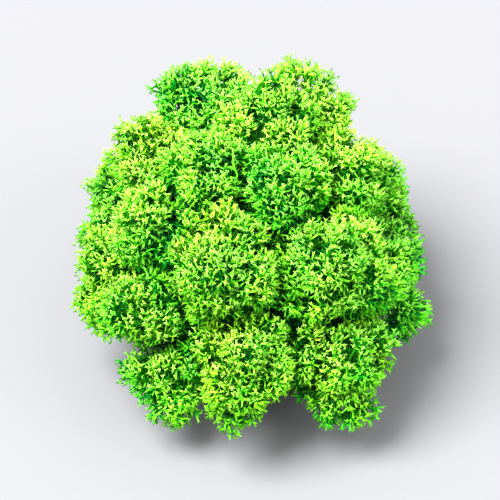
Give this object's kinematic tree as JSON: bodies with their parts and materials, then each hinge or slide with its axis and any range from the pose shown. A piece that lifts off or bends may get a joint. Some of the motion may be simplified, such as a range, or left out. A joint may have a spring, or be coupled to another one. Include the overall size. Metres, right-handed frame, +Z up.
{
  "type": "reindeer moss clump",
  "caption": "Dome-shaped clump of star-tipped reindeer moss: lobed, finely branched round heads pressed together on stems that gather to a small flat base, for display and craft.",
  "frame": {"origin": "on the surface that the clump rests on, under the middle of its width and depth", "axes": "+Z up; +Y along the clump's depth, from the front that the picture shows to the back; +X to the right seen from the front"},
  "size_m": [0.054, 0.0654, 0.0433],
  "materials": {
    "dyed_moss": "matt, fine branched, dyed bright green"
  },
  "bodies": {
    "root": {"head_front_low": "dyed_moss", "head_front_left": "dyed_moss", "head_shoulder_left": "dyed_moss", "head_front_centre": "dyed_moss", "head_front_right": "dyed_moss", "head_shoulder_right_near": "dyed_moss", "head_shoulder_right_far": "dyed_moss", "head_dome_front": "dyed_moss", "head_dome_left": "dyed_moss", "head_dome_top": "dyed_moss", "head_dome_back": "dyed_moss", "head_back_right": "dyed_moss", "head_right_low_far": "dyed_moss", "head_right_low_near": "dyed_moss", "head_front_right_low": "dyed_moss", "head_front_left_low": "dyed_moss", "head_left_low": "dyed_moss", "head_back_left_low": "dyed_moss", "head_back_low": "dyed_moss", "head_back_right_low": "dyed_moss"}
  },
  "joints": []
}
